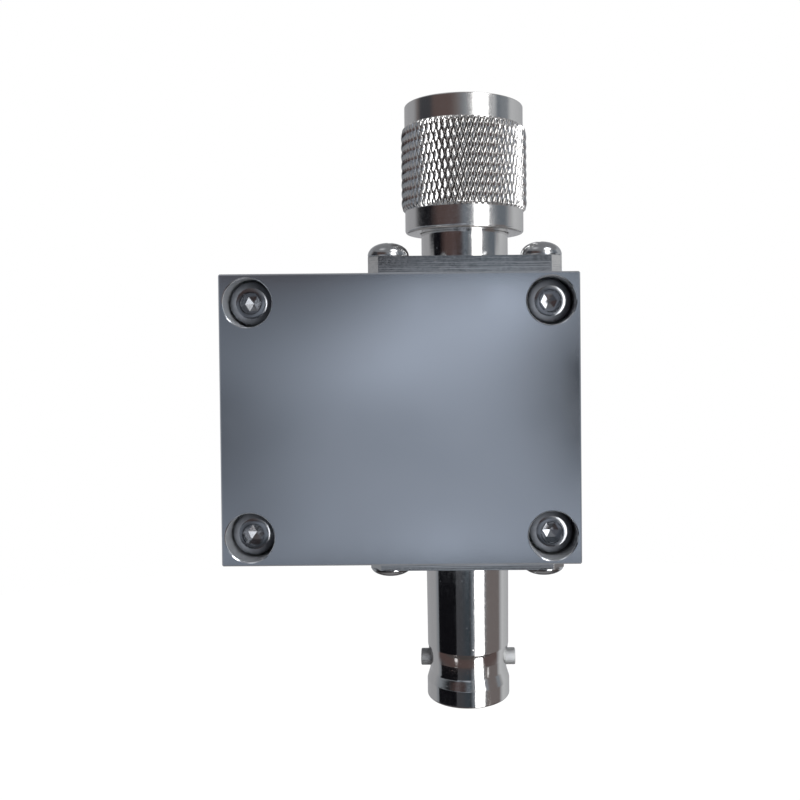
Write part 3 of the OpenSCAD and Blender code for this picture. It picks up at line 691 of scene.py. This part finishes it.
stud_height = -62.94
stud_r, stud_end, stud_round = 0.95, 5.52, 0.12
stud = lathe("bayonet_stud", [(0, shell + 0.02), (stud_r, shell + 0.02)]
             + arc(stud_r - stud_round, stud_end - stud_round, stud_round, 0, 90, 4) + [(0, stud_end)], 48)
# the lathe's axis is Z, and the studs lie along X
for v in stud.data.vertices:
    v.co = Vector((v.co.z, v.co.x, v.co.y))
set_out("bayonet_stud", stud, [((0, 0, stud_height), 0, half_turn) for half_turn in (0, 180)],
        plain_steel("stainless steel, studs", "#aeb0b2", "#c6c8c9", 0.5, 0.65),
        "bayonet_studs")

# Jack flange screws
# Four M2.5 raised countersunk screws of stainless steel hold the jack's flange to the box.
# They lie in its countersinks, so that only low domes stand out.

raised_length, raised_r, raised_dome = 3.05, 2.2, 0.95
raised = lathe("raised_screw", [
    (0, -raised_length), (shank - bevel, -raised_length), (shank, bevel - raised_length),
    (shank, shank - raised_r - 0.05), (raised_r, -0.05)]
    + [(raised_r * cos(radians(a)), raised_dome * sin(radians(a))) for a in range(0, 91, 5)])
combine(raised, cross_recess(raised_dome), "DIFFERENCE")
set_out("jack_flange_screw", raised,
        [((x * reach, y * reach, flange_bottom), 180, turned) for x, y, turned in
         ((-1, -1, 33), (1, -1, 12), (1, 1, 71), (-1, 1, 50))],
        plain_steel("stainless steel, raised screws", "#a9abae", "#c6c8ca", 0.1, 0.2),
        "jack_flange_screws")

# Cover screws
# Four M2.5 cap screws with hexagon sockets, of stainless steel, sit in the deep holes of
# the front and pull the cover on. The punch that made each socket left a shallow cone in it.

screw_seat = -10.35
cap_length, cap_bevel = 22.6, 0.25
cap_r, cap_height, cap_edge = 2.25, 2.5, 0.15
# the head's top edge is rounded further in than down
round_in, round_down = 1.1, 0.75
cap = lathe("cap_screw", [
    (0, -cap_length), (shank - cap_bevel, -cap_length), (shank, cap_bevel - cap_length), (shank, 0),
    (cap_r - cap_edge, 0), (cap_r, cap_edge)]
    + [(cap_r - round_in + round_in * cos(radians(a)), cap_height - round_down + round_down * sin(radians(a)))
       for a in range(0, 91, 6)]
    + [(0, cap_height)])
socket_corner, socket_bottom = 1.155, 1.2
hexagon = [(socket_corner * cos(radians(60 * i)), socket_corner * sin(radians(60 * i))) for i in range(6)]
combine(cap, prism("socket", hexagon, socket_bottom, cap_height + 0.5), "DIFFERENCE")
combine(cap, lathe("socket_mouth", [(0, 2.38), (1.06, 2.38), (1.2, 2.56), (0, 2.56)], 48), "DIFFERENCE")
combine(cap, lathe("punch_mark", [(0, 0.93), (0.97, 1.235), (0, 1.235)], 6), "DIFFERENCE", 12)
# the heads' steel is coloured darker than the other screws': painted shade for how dim they look down in the
# deep holes
set_out("cover_screw", cap,
        [((middle_x + x * hole_x, screw_seat, middle_z + z * hole_z), 90, turned) for x, z, turned in
         ((-1, 1, 4), (1, 1, 5), (-1, -1, -5), (1, -1, 1))],
        plain_steel("stainless steel with painted shade, cap screws", "#94969a", "#9fa1a5", 0.15, 0.2),
        "cover_screws")

# Studio
# A white room with a pale table below and one tall soft lamp to the right of the camera.
# Bare metal shows what stands round it, so plain cards that only gloss sees stand for the
# rest of the room: a banded wall, the lamp's front, a black strip, a ceiling and a table.


def shown(tree):
    """1 for the rays of the camera and of gloss, and 0 for those that light matt surfaces."""
    rays = add(tree, "LightPath")
    return add(tree, "Math", {0: rays.outputs["Is Camera Ray"], 1: rays.outputs["Is Glossy Ray"]},
               operation="ADD", use_clamp=True).outputs["Value"]


scene = bpy.context.scene
scene.view_settings.view_transform = "Standard"
world = bpy.data.worlds.new("white room")
scene.world = world
world.use_nodes = True
tree = world.node_tree
tree.nodes.clear()
# the camera and gloss see a white room, and matt surfaces get three quarters of its light
light = add(tree, "Background", {"Color": (1, 1, 1, 1), "Strength": 0.75})
white = add(tree, "Background", {"Color": (1, 1, 1, 1), "Strength": 1.0})
mix = add(tree, "MixShader", {0: shown(tree), 1: light.outputs[0], 2: white.outputs[0]})
add(tree, "OutputWorld", {"Surface": mix.outputs[0]})

# a pale matt table, which the camera and gloss see almost as white as the room
material, tree = begin("white table")
matt = add(tree, "BsdfDiffuse", {"Color": tint("#e2e2e2")})
glow = add(tree, "Emission", {"Color": (1, 1, 1, 1), "Strength": 1.12})
mix = add(tree, "MixShader", {0: 0.85, 1: matt.outputs[0], 2: glow.outputs[0]})
both = add(tree, "MixShader", {0: shown(tree), 1: matt.outputs[0], 2: mix.outputs[0]})
add(tree, "OutputMaterial", {"Surface": both.outputs[0]})
table_r, table_z, table_sides = 1500, -450, 64
table = piece("table", turn_rows([[(table_r, table_z)] * table_sides], table_sides),
              [tuple(range(table_sides))])
table.data.materials.append(material)

# the lamp's width and height, its distance from the connectors' axis and its middle's height
lamp_wide, lamp_tall, lamp_away, lamp_z = 205, 680, 460, -80
azimuth = radians(32.7)
lamp = bpy.data.lights.new("softbox", "AREA")
lamp.shape = "RECTANGLE"
lamp.size = lamp_wide / 1000
lamp.size_y = lamp_tall / 1000
lamp.energy = 2.6 * pi * lamp.size * lamp.size_y
softbox = bpy.data.objects.new("softbox", lamp)
softbox.location = Vector((lamp_away * sin(azimuth), -lamp_away * cos(azimuth), lamp_z)) / 1000
softbox.rotation_euler = (pi / 2, 0, azimuth)
softbox.visible_glossy = False
scene.collection.objects.link(softbox)


def only_in_gloss(thing, material):
    """Makes a card of the studio that the part's gloss shows and nothing else does."""
    thing.data.materials.append(material)
    thing.visible_camera = False
    thing.visible_diffuse = False
    thing.visible_shadow = False


def soft_spot(tree, place, centre, size, gain, core=1.0):
    """A round spot that fades outwards: its centre and half sizes in millimetres, its strength
    in the middle, and the share of the way in at which it reaches that strength."""
    where = add(tree, "Mapping", {"Vector": place, "Location": [c / 1000 for c in centre],
                                  "Scale": [s / 1000 for s in size]}, vector_type="TEXTURE")
    spot = add(tree, "TexGradient", {"Vector": where.outputs["Vector"]}, gradient_type="SPHERICAL")
    return add(tree, "MapRange", {"Value": spot.outputs["Fac"], "From Max": core, "To Max": gain},
               interpolation_type="SMOOTHSTEP").outputs["Result"]


def plus_glow(tree, surface, strength):
    """A card's shader with white light of some strength added."""
    glow = add(tree, "Emission", {"Color": (1, 1, 1, 1), "Strength": strength})
    return add(tree, "AddShader", {0: surface, 1: glow.outputs[0]}).outputs[0]


# tones of the cards that stand for the room
tones = {
    "white": "#d2d4d6", "bright": "#f0f0f0", "pale": "#acadb0", "mist": "#a2a8b2", "steel": "#8d9298",
    "slate": "#6c747d", "pewter": "#3e464d", "taupe": "#7c7574", "umber": "#675957", "brown": "#5a4a48",
    "smoke": "#494a4e", "soot": "#333438", "black": "#101014"}
# the wall's belts, from the lowest up: the height of the lower edge and how far that edge
# fades each way, in mm, then what stands where, in degrees to the right of the camera; behind
# the part every belt is pale
belts = [
    (None, None, [
        (-106, "pale"), (-96, "brown"), (94, "umber"), (104, "pale"), (112, "white")]),
    (-335, 20, [
        (-103, "pale"), (-94, "steel"), (-36, "steel"), (-31, "smoke"), (-20, "smoke"), (-2, "pewter"),
        (3, "pewter"), (6, "soot"), (12, "slate"), (17, "steel"), (46, "steel"), (54, "taupe"),
        (96, "taupe"), (102, "pale"), (112, "white")]),
    (-177, 4, [
        (-108, "pale"), (-86, "steel"), (-40, "steel"), (-28, "mist"), (46, "mist"), (60, "taupe"),
        (82, "taupe"), (90, "steel"), (96, "steel"), (103, "pale"), (112, "white")]),
    (-20, 20, [
        (-108, "pale"), (-88, "slate"), (-81, "soot"), (-75, "black"), (-38, "black"), (-26, "mist"),
        (46, "mist"), (60, "taupe"), (82, "taupe"), (90, "steel"), (96, "steel"), (103, "pale"),
        (112, "white")]),
    (13, 4, [
        (-92, "pale"), (-86, "black"), (-68, "black"), (-50, "brown"), (-14, "brown"), (-8, "soot"),
        (-3, "pewter"), (-1, "black"), (1, "pewter"), (4, "pewter"), (6, "soot"), (14, "steel"),
        (46, "steel"), (84, "slate"), (91, "white")]),
    (32, 4, [
        (-110, "pale"), (-97, "black"), (-68, "black"), (-50, "brown"), (-12, "brown"), (0, "slate"),
        (8, "slate"), (14, "steel"), (46, "pale"), (57, "steel"), (68, "slate"), (84, "slate"),
        (97, "pale"), (110, "white")]),
    (98, 20, [
        (-110, "pale"), (-98, "taupe"), (-90, "smoke"), (-66, "smoke"), (-58, "umber"), (-24, "umber"),
        (-12, "taupe"), (2, "steel"), (10, "pale"), (17, "bright"), (46, "bright"), (50, "pale"),
        (60, "white"), (68, "slate"), (79, "steel"), (92, "steel"), (101, "white")])]
# lighter and darker places in front: x, z, half width and half height in mm, and the gain
pools = [
    (-10, -10, 60, 90, 0.47), (-175, -85, 100, 100, -0.75), (-130, 5, 120, 60, -0.6),
    (88, -62, 66, 100, -1.0), (35, 5, 50, 40, 0.6), (-55, -40, 50, 40, 0.4), (-10, -175, 80, 50, 0.42),
    (-130, -145, 50, 40, -0.25), (-85, -100, 80, 50, -0.1), (30, -25, 60, 30, 0.15)]
pools_y = -475
wall_r, wall_low, wall_high = 480, -430, 300

material, tree = begin("studio wall")
place = add(tree, "TexCoord").outputs["Object"]
turned_round = add(tree, "Mapping", {"Vector": place, "Rotation": (0, 0, pi / 2)})
turn = add(tree, "TexGradient", {"Vector": turned_round.outputs["Vector"]}, gradient_type="RADIAL")
height = add(tree, "SeparateXYZ", {"Vector": place}).outputs["Z"]
colour = None
for bottom, soft, stops in belts:
    ramp = add(tree, "ValToRGB", {"Fac": turn.outputs["Fac"]})
    for end in ramp.color_ramp.elements:
        end.color = tint(tones["pale"])
    for angle, tone in stops + [(165, "pale")]:
        ramp.color_ramp.elements.new((angle + 180) / 360).color = tint(tones[tone])
    if colour is None:
        colour = ramp.outputs["Color"]
        continue
    share = add(tree, "MapRange", {"Value": height, "From Min": (bottom - soft) / 1000,
                                   "From Max": (bottom + soft) / 1000}, interpolation_type="SMOOTHSTEP")
    colour = add(tree, "Mix", {0: share.outputs["Result"], 6: colour, 7: ramp.outputs["Color"]},
                 data_type="RGBA").outputs[2]
level = 1.0
for x, z, wide, tall, gain in pools:
    pool = soft_spot(tree, place, (x, pools_y, z), (wide, 1000, tall), gain)
    level = add(tree, "Math", {0: level, 1: pool}, operation="ADD").outputs["Value"]
level = add(tree, "Math", {0: level, 1: 0.0}, operation="MAXIMUM").outputs["Value"]
both = add(tree, "Emission", {"Color": colour, "Strength": level}).outputs[0]
# two small lamps near the table, to the left and to the right of the camera
for angle, z, wide, tall in ((-38, -415, 60, 26), (62, -298, 35, 18)):
    x, y = wall_r * sin(radians(angle)), -wall_r * cos(radians(angle))
    both = plus_glow(tree, both, soft_spot(tree, place, (x, y, z), (wide, wide, tall), 1.6, 0.7))
add(tree, "OutputMaterial", {"Surface": both})
steps = 96
ring = [(wall_r * sin(2 * pi * i / steps), -wall_r * cos(2 * pi * i / steps)) for i in range(steps)]
points = [(x, y, z) for z in (wall_low, wall_high) for x, y in ring]
only_in_gloss(piece("studio_wall", points, [
    (i, (i + 1) % steps, steps + (i + 1) % steps, steps + i) for i in range(steps)]), material)

# the lamp's front as gloss shows it, brighter than what it gives to matt surfaces
material, tree = begin("softbox front")
front = add(tree, "Emission", {"Color": (1, 1, 1, 1), "Strength": 5.0})
add(tree, "OutputMaterial", {"Surface": front.outputs[0]})
points = []
card_away = lamp_away - 5
for z in (lamp_z - lamp_tall / 2, lamp_z + lamp_tall / 2):
    for across in (-lamp_wide / 2, lamp_wide / 2):
        points.append((card_away * sin(azimuth) + across * cos(azimuth),
                       -card_away * cos(azimuth) + across * sin(azimuth), z))
only_in_gloss(piece("softbox_front", points, [(0, 1, 3, 2)]), material)

# a low black strip close by on the left, which the barrel's gloss shows as a dark stripe
material, tree = begin("black strip")
front = add(tree, "Emission", {"Color": tint(tones["black"]), "Strength": 1.0})
add(tree, "OutputMaterial", {"Surface": front.outputs[0]})
strip_r, strip_low, strip_high, strip_steps = 60, -95, -66, 15
bend = [radians(-87 + 4 * i) for i in range(strip_steps)]
points = [(strip_r * sin(a), -strip_r * cos(a), z) for z in (strip_low, strip_high) for a in bend]
only_in_gloss(piece("black_strip", points, [
    (i, i + 1, i + 1 + strip_steps, i + strip_steps) for i in range(strip_steps - 1)]), material)

# the ceiling has two lamps, and the table is a little lighter under the part
for name, card_z, code, spots in (
        ("studio_ceiling", wall_high, "#9b9b9d", ((-150, -100, 120, 0.5), (200, -200, 150, 8.0))),
        ("studio_table", wall_low, "#4e4a49", ((0, 0, 340, 0.25),))):
    material, tree = begin(name)
    place = add(tree, "TexCoord").outputs["Object"]
    both = add(tree, "Emission", {"Color": tint(code), "Strength": 1.0}).outputs[0]
    for x, y, size, gain in spots:
        both = plus_glow(tree, both, soft_spot(tree, place, (x, y, card_z), (size, size, 1000), gain, 0.8))
    add(tree, "OutputMaterial", {"Surface": both})
    only_in_gloss(piece(name, [(x, y, card_z) for x, y in ring], [tuple(range(steps))]), material)
